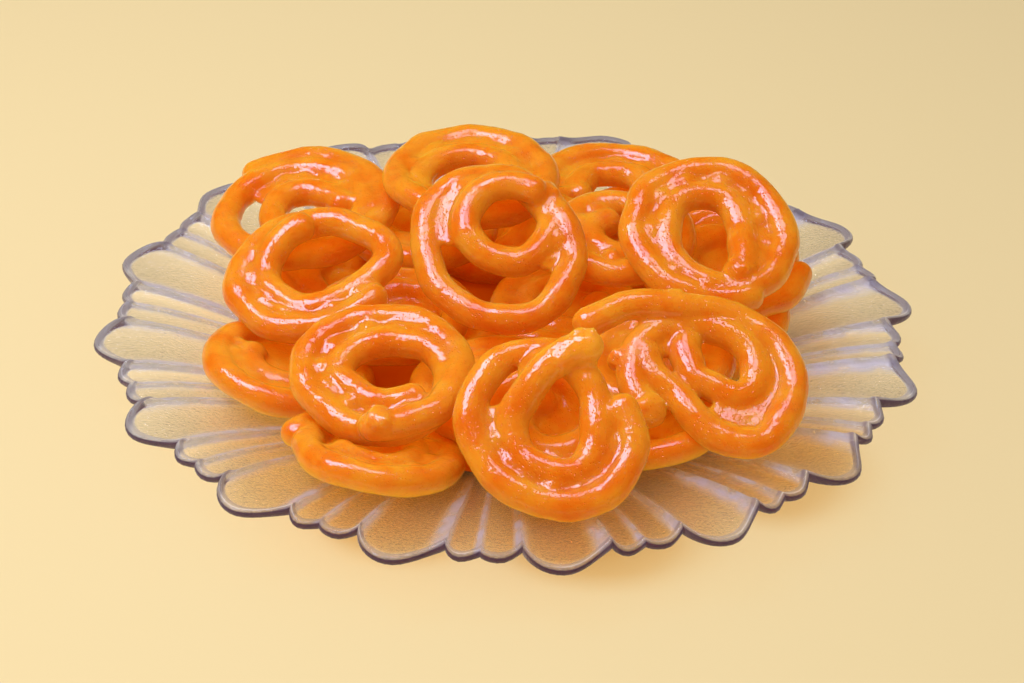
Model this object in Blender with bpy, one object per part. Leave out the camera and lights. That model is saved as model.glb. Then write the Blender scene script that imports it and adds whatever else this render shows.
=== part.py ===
# Jalebi heaped on a scalloped plate of pressed clear glass.
# Metres, +Z up. The plate's foot stands on Z = 0 with its centre at the origin, and -Y is the front.

import bpy
import bmesh
import numpy as np
from math import radians, pi

mm = 0.001

# Plate: sixteen wide petals, each followed by two narrow ones
tip_radius = 150 * mm
petal_groups = 16
first_tip = 143.3            # direction of one wide petal's tip, in degrees
floor_top = 6 * mm           # upper face of the flat middle
rim_top = 24 * mm            # upper face at the rim, between ridge and channel
floor_radius = 55 * mm       # where the flat middle starts to rise
slope_end = 146 * mm         # where the rise levels out
foot_radius = 54 * mm        # flat underside that the plate stands on
glass = 4.2 * mm             # thickness of the sloping part
ridge_height = 3.4 * mm      # of a ridge between two petals, at the rim
ridge_start = 80 * mm        # where the ridges begin to rise
under_rings = (0.62, 0.985)                    # rings of the underside, as shares of the reach
upper_rings = (0.985, 0.84, 0.70, 0.57)        # rings of the upper face

# Strand: batter piped about as thick as a finger, fried and soaked
strand_radius = 5 * mm
strand_sides = 6
end_share = 0.7              # how thick a strand is at its cut ends, as a share
ring_step = 40               # degrees of turn between two rings of the strand
path_step = 7.5              # degrees between the points that the heap is settled with
gap = 0.3 * mm               # left between two pieces that touch
merge_distance = 0.05 * mm   # slivers shorter than this are closed up

# One petal: where it starts and ends (in groups, from a wide tip), how far its tip and its
# two notches reach (of the tip radius), and how many columns of faces it takes
petals = [
    dict(start=-0.25, end=0.29, reach=1.000, notch=0.920, next_notch=0.932, columns=4),
    dict(start=0.29, end=0.50, reach=0.958, notch=0.932, next_notch=0.940, columns=2),
    dict(start=0.50, end=0.75, reach=0.952, notch=0.940, next_notch=0.920, columns=2),
]


def smooth_step(t):
    t = np.clip(t, 0, 1)
    return t * t * (3 - 2 * t)


def petal_at(turn):
    """Reach of the rim (metres) and ridge share (0 in a channel, 1 on a ridge) at a turn in groups."""
    turn = (np.asarray(turn, float) + 0.25) % 1 - 0.25
    reach = np.zeros_like(turn)
    ridge = np.zeros_like(turn)
    for petal in petals:
        inside = (turn >= petal["start"]) & (turn < petal["end"])
        across = (turn - petal["start"]) / (petal["end"] - petal["start"])
        notch = petal["notch"] + (petal["next_notch"] - petal["notch"]) * across
        bulge = np.sqrt(np.clip(1 - (2 * across - 1) ** 2, 0, 1))
        reach = np.where(inside, notch + (petal["reach"] - notch) * bulge, reach)
        ridge = np.where(inside, np.abs(2 * across - 1) ** 2, ridge)
    return reach * tip_radius, ridge


def plate_top(x, y):
    """Height of the plate's upper face at a place."""
    radius = np.hypot(x, y)
    turn = (np.degrees(np.arctan2(y, x)) - first_tip) * petal_groups / 360
    ridge = petal_at(turn)[1]
    rise = smooth_step((radius - floor_radius) / (slope_end - floor_radius))
    swell = np.clip((radius - ridge_start) / (slope_end - ridge_start), 0, 1)
    return floor_top + (rim_top - floor_top) * rise + ridge_height * swell * (ridge - 0.4)


# Coils: the strand's distance from the coil's centre (mm) at every eighth of a turn, from its first
# end; sense is +1 counter-clockwise; lift raises an end (mm) over its first or last degrees of turn.
coils = {
    "front": dict(first=69, sense=1, centre=(0, 0), start_lift=(7, 110), end_lift=(0, 1),
                  radii=(32, 18, 14.5, 13, 13, 15, 14.5, 15.5, 25, 32.5, 29.5, 25, 23.5, 26.5, 27, 25)),
    "front_right": dict(first=160, sense=-1, centre=(3, 4), start_lift=(6, 100), end_lift=(0, 1),
                        radii=(48, 30, 26.5, 26.5, 27, 28, 18, 16, 26)),
    "front_left": dict(first=320, sense=-1, centre=(0, 0), start_lift=(0, 1), end_lift=(5, 120),
                       radii=(19, 13, 10, 11, 11.5, 12.5, 18, 26, 29, 27, 22, 23, 25, 25, 27.5,
                              30.5, 31, 29)),
    "left": dict(first=104, sense=1, centre=(0, 0), start_lift=(4, 90), end_lift=(0, 1),
                 radii=(20, 18, 16.5, 16, 16, 18, 27.5, 25.5, 25, 26, 27.5, 26, 25, 26)),
    "back_left": dict(first=0, sense=1, centre=(0, 0), start_lift=(0, 1), end_lift=(0, 1),
                      radii=(13, 9, 8.5, 10, 11.5, 16, 20, 22.5, 22.5, 22, 22.5, 25, 29, 33, 31,
                             29.5, 29, 28.5, 28.5, 30)),
    "crown": dict(first=60, sense=1, centre=(2, 8), start_lift=(6, 360), end_lift=(0, 1),
                  radii=(20, 19.5, 15.5, 12.5, 11.5, 11.5, 12.5, 17, 22, 28, 30.5, 29, 32.5, 34, 27.5,
                         22, 23)),
    "right": dict(first=300, sense=1, centre=(0, 0), start_lift=(3, 90), end_lift=(0, 1),
                  radii=(19, 12, 13, 18.5, 20, 16, 16.5, 19, 25, 26.5, 27.5, 31, 30.5, 28.5, 26, 26, 28)),
    "back_right": dict(first=200, sense=-1, centre=(0, 0), start_lift=(0, 1), end_lift=(0, 1),
                       radii=(12, 12, 13, 14, 16, 18, 20, 22, 25, 27, 28, 29, 30, 30, 29, 28)),
    "top": dict(first=230, sense=1, centre=(0, 0), start_lift=(2, 60), end_lift=(3, 60),
                radii=(14, 15, 15, 14, 15, 16, 17, 20, 25, 27, 27, 27, 28, 29, 29, 28, 28)),
    "plain": dict(first=30, sense=1, centre=(0, 0), start_lift=(0, 1), end_lift=(0, 1),
                  radii=(12, 12.5, 13, 14, 16, 19, 21, 22, 23.5, 24.5, 25.5, 26, 27, 28, 28, 28)),
    "small": dict(first=30, sense=-1, centre=(0, 0), start_lift=(0, 1), end_lift=(0, 1),
                  radii=(11, 12, 13, 13, 15, 17, 19, 21, 22, 23, 24, 24, 25, 25.5, 26, 26)),
    "tight": dict(first=120, sense=1, centre=(0, 0), start_lift=(0, 1), end_lift=(0, 1),
                  radii=(9, 10, 11, 11, 12, 14, 16, 18, 20, 21, 22, 22, 22, 23, 23)),
}

# The side strand of the jalebi at the front right, which ends in a lump
side_strand = dict(first=225, sense=-1, centre=(2, 10), start_lift=(0, 1), end_lift=(0, 1),
                   radii=(30, 28, 21, 15, 14, 15, 16, 9, 8.5, 8.5, 13))

# The heap, in the order it was laid: name, coil, place of its centre, the way it is turned
# about its own axis, how far it leans and the direction it leans toward (degrees)
heap = [
    dict(name="jalebi_floor_right", coil="plain", x=75, y=11, turned=330, lean=11, toward=200),
    dict(name="jalebi_floor_front_right", coil="plain", x=48, y=-55, turned=270, lean=10, toward=140),
    dict(name="jalebi_floor_front_left", coil="plain", x=-45, y=-83, turned=180, lean=17, toward=60),
    dict(name="jalebi_floor_left", coil="plain", x=-80, y=-26, turned=135, lean=13, toward=15),
    dict(name="jalebi_floor_back_left", coil="plain", x=-62, y=37, turned=45, lean=9, toward=-25),
    dict(name="jalebi_floor_back", coil="small", x=-9, y=79, turned=90, lean=12, toward=-80),
    dict(name="jalebi_floor_back_right", coil="small", x=48, y=71, turned=165, lean=13, toward=-130),
    dict(name="jalebi_floor_middle", coil="small", x=-1, y=-8, turned=255, lean=0, toward=0),
    dict(name="jalebi_low_middle", coil="small", x=23, y=9, turned=0, lean=0, toward=45),
    dict(name="jalebi_low_right", coil="plain", x=79, y=28, turned=0, lean=10, toward=262),
    dict(name="jalebi_low_front", coil="plain", x=-1, y=-46, turned=300, lean=0, toward=-100),
    dict(name="jalebi_low_left", coil="small", x=-41, y=-2, turned=300, lean=0, toward=155),
    dict(name="jalebi_low_back", coil="small", x=-34, y=58, turned=45, lean=0, toward=100),
    dict(name="jalebi_under_front", coil="tight", x=15, y=-79, turned=345, lean=21, toward=275),
    dict(name="jalebi_under_front_right", coil="tight", x=54, y=-36, turned=210, lean=8, toward=255),
    dict(name="jalebi_front", coil="front", x=16, y=-96, turned=0, lean=32, toward=267),
    dict(name="jalebi_front_left", coil="front_left", x=-47, y=-57, turned=0, lean=16, toward=253),
    dict(name="jalebi_front_right", coil="front_right", x=69, y=-61, turned=0, lean=24, toward=275),
    dict(name="jalebi_back_left", coil="back_left", x=-77, y=53, turned=0, lean=8, toward=240),
    dict(name="jalebi_left", coil="left", x=-71, y=1, turned=0, lean=20, toward=245),
    dict(name="jalebi_back_right", coil="back_right", x=37, y=78, turned=0, lean=1, toward=103),
    dict(name="jalebi_between", coil="tight", x=40, y=28, turned=0, lean=8, toward=260),
    dict(name="jalebi_right", coil="right", x=72, y=12, turned=0, lean=23, toward=277),
    dict(name="jalebi_top", coil="top", x=-15, y=57, turned=0, lean=3, toward=250),
    dict(name="jalebi_crown", coil="crown", x=-4, y=4, turned=0, lean=26, toward=265),
]


def through(values, at):
    """Smooth curve through equally spaced values, read at fractions of their spacing."""
    values = np.asarray(values, float)
    padded = np.concatenate([[2 * values[0] - values[1]], values, [2 * values[-1] - values[-2]]])
    index = np.clip(np.floor(at).astype(int), 0, len(values) - 2)
    t = at - index
    before, here, after, beyond = (padded[index + shift] for shift in range(4))
    slope = (after - before) / 2
    next_slope = (beyond - here) / 2
    return ((2 * t**3 - 3 * t**2 + 1) * here + (t**3 - 2 * t**2 + t) * slope
            + (3 * t**2 - 2 * t**3) * after + (t**3 - t**2) * next_slope)


def coil_path(coil, step):
    """Centre line of a strand that lies flat, as an array of points."""
    eighths = len(coil["radii"]) - 1
    turned = np.linspace(0, eighths * 45, int(round(eighths * 45 / step)) + 1)
    radius = through(coil["radii"], turned / 45) * mm
    angle = np.radians(coil["first"] + coil["sense"] * turned)
    start_height, start_reach = coil["start_lift"]
    end_height, end_reach = coil["end_lift"]
    height = (start_height * mm * smooth_step(1 - turned / start_reach)
              + end_height * mm * smooth_step(1 - (turned[-1] - turned) / end_reach))
    return np.stack([coil["centre"][0] * mm + radius * np.cos(angle),
                     coil["centre"][1] * mm + radius * np.sin(angle), height], axis=1)


def turn_matrix(piece):
    """Rotation of a piece: about its own axis first, then leaning so that one side goes down."""
    about = radians(piece["turned"])
    lean = radians(piece["lean"])
    toward = radians(piece["toward"])
    spin = np.array([[np.cos(about), -np.sin(about), 0], [np.sin(about), np.cos(about), 0], [0, 0, 1]])
    axis = np.array([-np.sin(toward), np.cos(toward), 0])
    cross = np.array([[0, 0, axis[1]], [0, 0, -axis[0]], [-axis[1], axis[0], 0]])
    tip = np.eye(3) + np.sin(lean) * cross + (1 - np.cos(lean)) * cross @ cross
    return tip @ spin


def strands_of(piece):
    """The strands that a jalebi is made of."""
    strands = [coils[piece["coil"]]]
    if piece["coil"] == "front_right":
        strands.append(side_strand)
    return strands


def placed_path(piece, coil, step):
    """A strand's centre line, turned and moved to its place in plan, at its own height."""
    path = coil_path(coil, step) @ turn_matrix(piece).T
    return path + np.array([piece["x"] * mm, piece["y"] * mm, 0])


def settled_height(path, laid):
    """Lowest height at which a strand clears the plate and all that is laid already."""
    steepest = 0.36          # the plate's slope where it is steepest
    facets = 0.2 * mm        # how far the plate's flat facets stand above its true surface
    clear = strand_radius * np.hypot(1, steepest) + gap + facets
    needed = np.max(plate_top(path[:, 0], path[:, 1]) + clear - path[:, 2])
    reach = 2 * strand_radius + gap
    for other in laid:
        apart = np.hypot(path[:, None, 0] - other[None, :, 0], path[:, None, 1] - other[None, :, 1])
        touching = apart < reach
        if touching.any():
            over = other[None, :, 2] + np.sqrt(np.clip(reach**2 - apart**2, 0, None)) - path[:, None, 2]
            needed = max(needed, np.max(over[touching]))
    return needed


# Meshes
def clear_scene():
    for item in list(bpy.data.objects):
        bpy.data.objects.remove(item, do_unlink=True)


def make_material(name, colour, roughness, alpha=1.0):
    material = bpy.data.materials.new(name)
    material.use_nodes = True
    shader = material.node_tree.nodes["Principled BSDF"]
    shader.inputs["Base Color"].default_value = (*colour, 1)
    shader.inputs["Roughness"].default_value = roughness
    shader.inputs["Metallic"].default_value = 0
    shader.inputs["Alpha"].default_value = alpha
    return material


def make_object(name, mesh, material, sharp_angle):
    mesh.materials.clear()
    mesh.materials.append(material)
    mesh.shade_smooth()
    mesh.set_sharp_from_angle(angle=radians(sharp_angle))
    item = bpy.data.objects.new(name, mesh)
    bpy.context.scene.collection.objects.link(item)
    return item


def rings_to_mesh(name, rings):
    """Closed mesh through equal rings of points, each end filled with one face."""
    count = rings.shape[1]
    build = bmesh.new()
    rows = [[build.verts.new(point) for point in ring] for ring in rings]
    for row, after in zip(rows, rows[1:]):
        for side in range(count):
            beyond = (side + 1) % count
            build.faces.new((row[side], row[beyond], after[beyond], after[side]))
    build.faces.new(rows[0][::-1])
    build.faces.new(rows[-1])
    bmesh.ops.recalc_face_normals(build, faces=build.faces)
    bmesh.ops.triangulate(build, faces=build.faces)
    mesh = bpy.data.meshes.new(name)
    build.to_mesh(mesh)
    build.free()
    return mesh


def strand_rings(path):
    """Rings of points around a centre line, drawn in a little at both ends."""
    along = np.gradient(path, axis=0)
    along /= np.linalg.norm(along, axis=1, keepdims=True)
    sideways = np.cross(along, [0, 0, 1])
    sideways /= np.linalg.norm(sideways, axis=1, keepdims=True)
    upward = np.cross(sideways, along)
    radius = np.full(len(path), strand_radius)
    radius[[0, -1]] *= end_share
    around = (np.arange(strand_sides) + 0.5) * 2 * pi / strand_sides
    ring = np.cos(around)[:, None] * sideways[:, None] + np.sin(around)[:, None] * upward[:, None]
    return path[:, None] + radius[:, None, None] * ring


def lump_mesh(name, centre):
    """The round blob where the piping stopped."""
    build = bmesh.new()
    bmesh.ops.create_icosphere(build, subdivisions=1, radius=strand_radius)
    bmesh.ops.translate(build, verts=build.verts, vec=centre)
    mesh = bpy.data.meshes.new(name)
    build.to_mesh(mesh)
    build.free()
    return mesh


def keep_outer_shell(mesh):
    """Fills the sealed pockets that fused strands leave between them: only the widest shell stays."""
    build = bmesh.new()
    build.from_mesh(mesh)
    bmesh.ops.dissolve_degenerate(build, dist=merge_distance, edges=build.edges)
    unseen = set(build.faces)
    shells = []
    while unseen:
        shell = {unseen.pop()}
        fresh = set(shell)
        while fresh:
            face = fresh.pop()
            found = {other for edge in face.edges for other in edge.link_faces} & unseen
            unseen -= found
            shell |= found
            fresh |= found
        shells.append(shell)
    widest = max(shells, key=lambda shell: sum(face.calc_area() for face in shell))
    spare = [face for shell in shells if shell is not widest for face in shell]
    bmesh.ops.delete(build, geom=spare, context="FACES")
    bmesh.ops.triangulate(build, faces=build.faces)
    build.to_mesh(mesh)
    build.free()


def fused(name, meshes):
    """One solid from strands that cross and touch themselves and each other."""
    items = [bpy.data.objects.new(name + "_" + mesh.name, mesh) for mesh in meshes]
    for item in items:
        bpy.context.scene.collection.objects.link(item)
    for item in items[1:]:
        join = items[0].modifiers.new("join", "BOOLEAN")
        join.operation = "UNION"
        join.solver = "EXACT"
        join.use_self = True
        join.object = item
    bpy.context.view_layer.update()
    evaluated = items[0].evaluated_get(bpy.context.evaluated_depsgraph_get())
    mesh = bpy.data.meshes.new_from_object(evaluated)
    for item in items:
        bpy.data.objects.remove(item, do_unlink=True)
    mesh.name = name
    keep_outer_shell(mesh)
    return mesh


def make_jalebi(piece, laid, material):
    paths = [placed_path(piece, coil, path_step) for coil in strands_of(piece)]
    height = max(settled_height(path, laid) for path in paths)
    for path in paths:
        path[:, 2] += height
        laid.append(path)
    meshes = []
    for coil in strands_of(piece):
        path = placed_path(piece, coil, ring_step) + np.array([0, 0, height])
        meshes.append(rings_to_mesh("strand", strand_rings(path)))
        meshes.append(lump_mesh("lump", path[-1]))
    return make_object(piece["name"], fused(piece["name"], meshes), material, sharp_angle=50)


def make_plate(material):
    """Pressed glass: flat middle, petals that rise to the rim, even thickness, flat foot."""
    turns = []
    for group in range(petal_groups):
        for petal in petals:
            across = np.linspace(petal["start"], petal["end"], petal["columns"], endpoint=False)
            turns.extend(group + across)
    turns = np.array(turns)
    angle = np.radians(first_tip + turns * 360 / petal_groups)
    reach = petal_at(turns)[0]

    def ring(radius, below=0.0):
        x = radius * np.cos(angle)
        y = radius * np.sin(angle)
        return np.stack([x, y, plate_top(x, y) - below], axis=1)

    even = np.ones_like(angle)
    foot = ring(even * foot_radius)
    foot[:, 2] = 0
    rings = [foot]
    for share in under_rings:
        rings.append(ring(reach * share, below=glass))
    rings.append(ring(reach, below=glass / 2))
    for share in upper_rings:
        rings.append(ring(reach * share))
    rings.append(ring(even * floor_radius))
    return make_object("plate", rings_to_mesh("plate", np.array(rings)), material, sharp_angle=40)


def main():
    clear_scene()
    glass_material = make_material("clear_glass", (0.86, 0.86, 0.88), 0.06, alpha=0.4)
    syrup_material = make_material("jalebi_orange", (0.86, 0.27, 0.02), 0.15)
    make_plate(glass_material)
    laid = []
    for piece in heap:
        make_jalebi(piece, laid, syrup_material)


main()
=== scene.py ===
# Jalebi heaped on a scalloped plate of pressed clear glass: the surfaces that show, and their looks.
# Lengths are in millimetres inside the shape functions and in metres in the scene.
from math import radians, cos, sin
import bpy
import numpy as np
from mathutils import Matrix, Vector


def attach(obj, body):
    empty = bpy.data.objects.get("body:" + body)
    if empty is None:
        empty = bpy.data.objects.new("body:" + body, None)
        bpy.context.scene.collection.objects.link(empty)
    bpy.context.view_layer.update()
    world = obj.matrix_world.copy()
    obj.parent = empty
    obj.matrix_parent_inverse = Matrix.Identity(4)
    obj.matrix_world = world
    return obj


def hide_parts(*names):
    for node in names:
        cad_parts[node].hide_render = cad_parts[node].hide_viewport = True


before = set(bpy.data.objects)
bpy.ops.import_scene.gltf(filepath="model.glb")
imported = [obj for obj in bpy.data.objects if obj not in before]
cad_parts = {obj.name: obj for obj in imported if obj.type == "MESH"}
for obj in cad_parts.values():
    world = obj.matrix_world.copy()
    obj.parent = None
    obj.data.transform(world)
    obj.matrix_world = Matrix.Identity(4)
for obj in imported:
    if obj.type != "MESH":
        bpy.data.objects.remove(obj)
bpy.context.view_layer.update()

mm = 0.001
print("frame loaded:", len(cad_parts), "nodes")

plateShape = dict(
    tipRadius=150, petalGroups=16, firstTip=143.3,
    tipAt=0.42, waveShare=0.65, bluntness=0.62,    # a petal's outline from notch to notch
    floorTop=6, rimTop=24, floorRadius=55, slopeEnd=146, footRadius=54,
    glass=4.4, rimGlass=3.8, thinFrom=90, thinOver=50,
    ridgeHeight=3.4, ridgeStart=80, ridgeLevel=0.4, ridgePower=3.0,
    underRidge=0.6, underPower=2.0,
    lipHeight=1.1, lipWidth=2.2,
    footRings=(12, 30, 48), floorRings=(42, 28, 12),
    rimTurn=80, rimRings=11,                       # degrees above and below the rim's middle
    wideColumns=20, narrowColumns=9,
)
# one petal: start and end in groups from a wide tip, reach of its tip and of its two notches, and
# how much of the full height the ridges at its two notches have
petals = [
    dict(start=-0.25, end=0.29, reach=1.000, notch=0.928, nextNotch=0.934, rise=1.0, nextRise=1.0),
    dict(start=0.29, end=0.50, reach=0.956, notch=0.934, nextNotch=0.938, rise=1.0, nextRise=0.35),
    dict(start=0.50, end=0.75, reach=0.953, notch=0.938, nextNotch=0.928, rise=0.35, nextRise=1.0),
]
strandShape = dict(
    settleRadius=5.0, gap=0.3, pathStep=7.5,           # as the solids are settled
    slope=0.36, spare=0.2,                             # the plate's steepest slope, and room over it
    halfWidth=5.6, halfHeight=5.1, sides=28, fineStep=1.5,    # as the strand is drawn
    voxel=0.73, hiddenVoxel=1.0, softening=5,
    wander=0.4, wanderLength=26, wanderFade=12, wanderRise=0.4,        # unsteady piping
    swell=0.07, alongShare=0.6, alongLength=30, roundShare=0.5, roundLength=14, roundRadius=5,
    # painted light: the undersides are painted paler, as if light came through the thin batter
    litThroughShare=0.70, edgeFrom=0.35, edgeSlope=0.8,       # thin undersides let more light through
    ripples=((0.12, 11, 400), (0.045, 3.6, 500), (0.02, 1.7, 600)),    # height, length, seed
)
# batter run together between two turns: degrees a step, half depth where they touch and its loss
# for each mm of gap, the widest gap, how unsteady, its least half depth and how wide
web = dict(step=3, depth=4.2, loss=0.5, reach=5.5, unsteady=0.2, unsteadyLength=12, least=1.0,
           wideShare=0.45, fade=4)
# layers whose middles a film closes, its half depth, what the edge has more, and how far it sinks
film = dict(layers=("floor", "low", "under"), halfDepth=1.3, rimDepth=0.6, sink=0.8,
            rings=14, columns=28)
# two strands of one jalebi: the stretch of each path that the batter joins, in steps of a web
bridge = dict(sideSpan=(45, 100), mainSpan=(33, 86), points=50, depth=1.9)
knobShape = dict(rings=14, sides=28, tilt=1.45, blunt=0.7, rough=0.16, roughLength=4.5, roughReach=5,
                 ripple=(0.18, 3.4, 700), spread=1.1)
# distance from the coil's centre at every eighth of a turn from the first end
coils = {
    "front": dict(first=69, sense=1, centre=(0, 0), startLift=(7, 110), endLift=(0, 1),
                  web=(3.6, 0.5, 4),
                  radii=(32, 18, 14.5, 13, 13, 15, 14.5, 15.5, 25, 32.5, 29.5, 25, 23.5, 26.5, 27, 25)),
    "frontRight": dict(first=160, sense=-1, centre=(3, 4), startLift=(6, 100), endLift=(0, 1),
                       web=(3.0, 0.3, 7),
                       radii=(48, 30, 26.5, 26.5, 27, 28, 18, 16, 26)),
    "frontLeft": dict(first=320, sense=-1, centre=(0, 0), startLift=(0, 1), endLift=(5, 120),
                      radii=(19, 13, 10, 11, 11.5, 12.5, 18, 26, 29, 27, 22, 23, 25, 25, 27.5,
                             30.5, 31, 29)),
    "left": dict(first=104, sense=1, centre=(0, 0), startLift=(4, 90), endLift=(0, 1),
                 radii=(20, 18, 16.5, 16, 16, 18, 27.5, 25.5, 25, 26, 27.5, 26, 25, 26)),
    "backLeft": dict(first=0, sense=1, centre=(0, 0), startLift=(0, 1), endLift=(0, 1),
                     radii=(13, 9, 8.5, 10, 11.5, 16, 20, 22.5, 22.5, 22, 22.5, 25, 29, 33, 31,
                            29.5, 29, 28.5, 28.5, 30)),
    "crown": dict(first=60, sense=1, centre=(2, 8), startLift=(6, 360), endLift=(0, 1),
                  radii=(20, 19.5, 15.5, 12.5, 11.5, 11.5, 12.5, 17, 22, 28, 30.5, 29, 32.5, 34, 27.5,
                         22, 23)),
    "right": dict(first=300, sense=1, centre=(0, 0), startLift=(3, 90), endLift=(0, 1),
                  radii=(19, 12, 13, 18.5, 20, 16, 16.5, 19, 25, 26.5, 27.5, 31, 30.5, 28.5, 26, 26, 28)),
    "backRight": dict(first=200, sense=-1, centre=(0, 0), startLift=(0, 1), endLift=(0, 1),
                      radii=(12, 12, 13, 14, 16, 18, 20, 22, 25, 27, 28, 29, 30, 30, 29, 28)),
    "top": dict(first=230, sense=1, centre=(0, 0), startLift=(2, 60), endLift=(3, 60),
                radii=(14, 15, 15, 14, 15, 16, 17, 20, 25, 27, 27, 27, 28, 29, 29, 28, 28)),
    "plain": dict(first=30, sense=1, centre=(0, 0), startLift=(0, 1), endLift=(0, 1),
                  radii=(12, 12.5, 13, 14, 16, 19, 21, 22, 23.5, 24.5, 25.5, 26, 27, 28, 28, 28)),
    "small": dict(first=30, sense=-1, centre=(0, 0), startLift=(0, 1), endLift=(0, 1),
                  radii=(11, 12, 13, 13, 15, 17, 19, 21, 22, 23, 24, 24, 25, 25.5, 26, 26)),
    "tight": dict(first=120, sense=1, centre=(0, 0), startLift=(0, 1), endLift=(0, 1),
                  radii=(9, 10, 11, 11, 12, 14, 16, 18, 20, 21, 22, 22, 22, 23, 23)),
}
sideStrand = dict(first=225, sense=-1, centre=(2, 10), startLift=(0, 1), endLift=(0, 1),
                  radii=(30, 28, 21, 15, 14, 15, 16, 9, 8.5, 8.5, 13))
# torn ends and drips: place along the coil in eighths of a turn, offset outward and up, half
# length, half width, half height, how pale
knobs = {
    "front": [(-0.05, 0.3, 0.2, 4.8, 6.2, 4.4, 1.0), (0.4, -0.8, 0.3, 5.5, 5.7, 4.8, 0.6)],
    "frontLeft": [(12.2, 4.4, -2.5, 2.0, 2.6, 2.4, 0.3), (16.9, 0.0, 2.5, 4.5, 5.2, 4.6, 0.3)],
    "frontRight": [(0.0, 0.5, 0.0, 4.5, 4.4, 4.2, 0.9), (0.9, 2.5, 1.5, 3.5, 3.0, 3.0, 0.6)],
    "sideStrand": [(0.1, 1.0, 0.0, 5.0, 6.4, 5.4, 0.35), (1.0, 5.0, -1.0, 3.6, 3.6, 3.6, 0.3),
                   (1.9, 3.6, 0.5, 3.2, 3.0, 3.2, 0.2)],
    "right": [(0.1, 0.0, 0.8, 3.4, 5.2, 4.4, 0.0)],
    "crown": [(15.8, 0.0, 0.5, 5.0, 5.6, 5.4, 0.2)],
}

# the heap in the order it was laid: node, coil, x, y, turned, lean, toward, and whether it shows
heap = [
    ("jalebi_floor_right", "plain", 75, 11, 330, 11, 200, False),
    ("jalebi_floor_front_right", "plain", 48, -55, 270, 10, 140, True),
    ("jalebi_floor_front_left", "plain", -45, -83, 180, 17, 60, True),
    ("jalebi_floor_left", "plain", -80, -26, 135, 13, 15, True),
    ("jalebi_floor_back_left", "plain", -62, 37, 45, 9, -25, False),
    ("jalebi_floor_back", "small", -9, 79, 90, 12, -80, False),
    ("jalebi_floor_back_right", "small", 48, 71, 165, 13, -130, False),
    ("jalebi_floor_middle", "small", -1, -8, 255, 0, 0, False),
    ("jalebi_low_middle", "small", 23, 9, 0, 0, 45, False),
    ("jalebi_low_right", "plain", 79, 28, 0, 10, 262, True),
    ("jalebi_low_front", "plain", -1, -46, 300, 0, -100, True),
    ("jalebi_low_left", "small", -41, -2, 300, 0, 155, True),
    ("jalebi_low_back", "small", -34, 58, 45, 0, 100, False),
    ("jalebi_under_front", "tight", 15, -79, 345, 21, 275, False),
    ("jalebi_under_front_right", "tight", 54, -36, 210, 8, 255, False),
    ("jalebi_front", "front", 16, -96, 0, 32, 267, True),
    ("jalebi_front_left", "frontLeft", -47, -57, 0, 16, 253, True),
    ("jalebi_front_right", "frontRight", 69, -61, 0, 24, 275, True),
    ("jalebi_back_left", "backLeft", -77, 53, 0, 8, 240, True),
    ("jalebi_left", "left", -71, 1, 0, 20, 245, True),
    ("jalebi_back_right", "backRight", 37, 78, 0, 1, 103, True),
    ("jalebi_between", "tight", 40, 28, 0, 8, 260, True),
    ("jalebi_right", "right", 72, 12, 0, 23, 277, True),
    ("jalebi_top", "top", -15, 57, 0, 3, 250, True),
    ("jalebi_crown", "crown", -4, 4, 0, 26, 265, True),
]


# Cubic that leaves 0 and reaches 1 level: 3tt - 2ttt.
def smoothStep(t):
    t = np.clip(t, 0, 1)
    return t * t * (3 - 2 * t)


# Waves in space: a sum of sines whose directions and phases are drawn once from the seed,
# each of about the given wavelength in mm. Runs from about -1 to 1.
def waves(points, wavelength, seed, count=14):
    draw = np.random.default_rng(seed)
    direction = draw.normal(size=(count, points.shape[-1]))
    direction /= np.linalg.norm(direction, axis=1, keepdims=True)
    pitch = 2 * np.pi / (wavelength * draw.uniform(0.7, 1.4, count))
    phase = draw.uniform(0, 2 * np.pi, count)
    return np.sin(points @ (direction * pitch[:, None]).T + phase).sum(axis=-1) / np.sqrt(count * 1.6)


# Rim of one group of petals: each petal rises from its first notch as a blunt quarter of an ellipse,
# and falls to its next notch in a mix of the same ellipse and half a cosine wave. Across runs from -1
# at one notch to 1 at the other, and rise is the share of the nearer notch's ridge.
def petalAt(turn):
    s = plateShape
    turn = (np.asarray(turn, float) + 0.25) % 1 - 0.25
    reach, across, rise = np.zeros((3,) + turn.shape)
    for petal in petals:
        inside = (turn >= petal["start"]) & (turn < petal["end"])
        part = (turn - petal["start"]) / (petal["end"] - petal["start"])
        notch = petal["notch"] + (petal["nextNotch"] - petal["notch"]) * part
        rising = np.clip(part / s["tipAt"], 0, 1)
        falling = np.clip((part - s["tipAt"]) / (1 - s["tipAt"]), 0, 1)
        fromTip = np.where(falling > 0, falling, 1 - rising)
        blunt = np.clip(1 - fromTip**2, 0, 1) ** s["bluntness"]
        wave = np.cos(falling * np.pi / 2) ** 2
        bulge = blunt + s["waveShare"] * (wave - blunt) * (falling > 0)
        reach = np.where(inside, notch + (petal["reach"] - notch) * bulge, reach)
        across = np.where(inside, 2 * part - 1, across)
        rise = np.where(inside, np.where(part < 0.5, petal["rise"], petal["nextRise"]), rise)
    return reach * s["tipRadius"], across, rise


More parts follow.
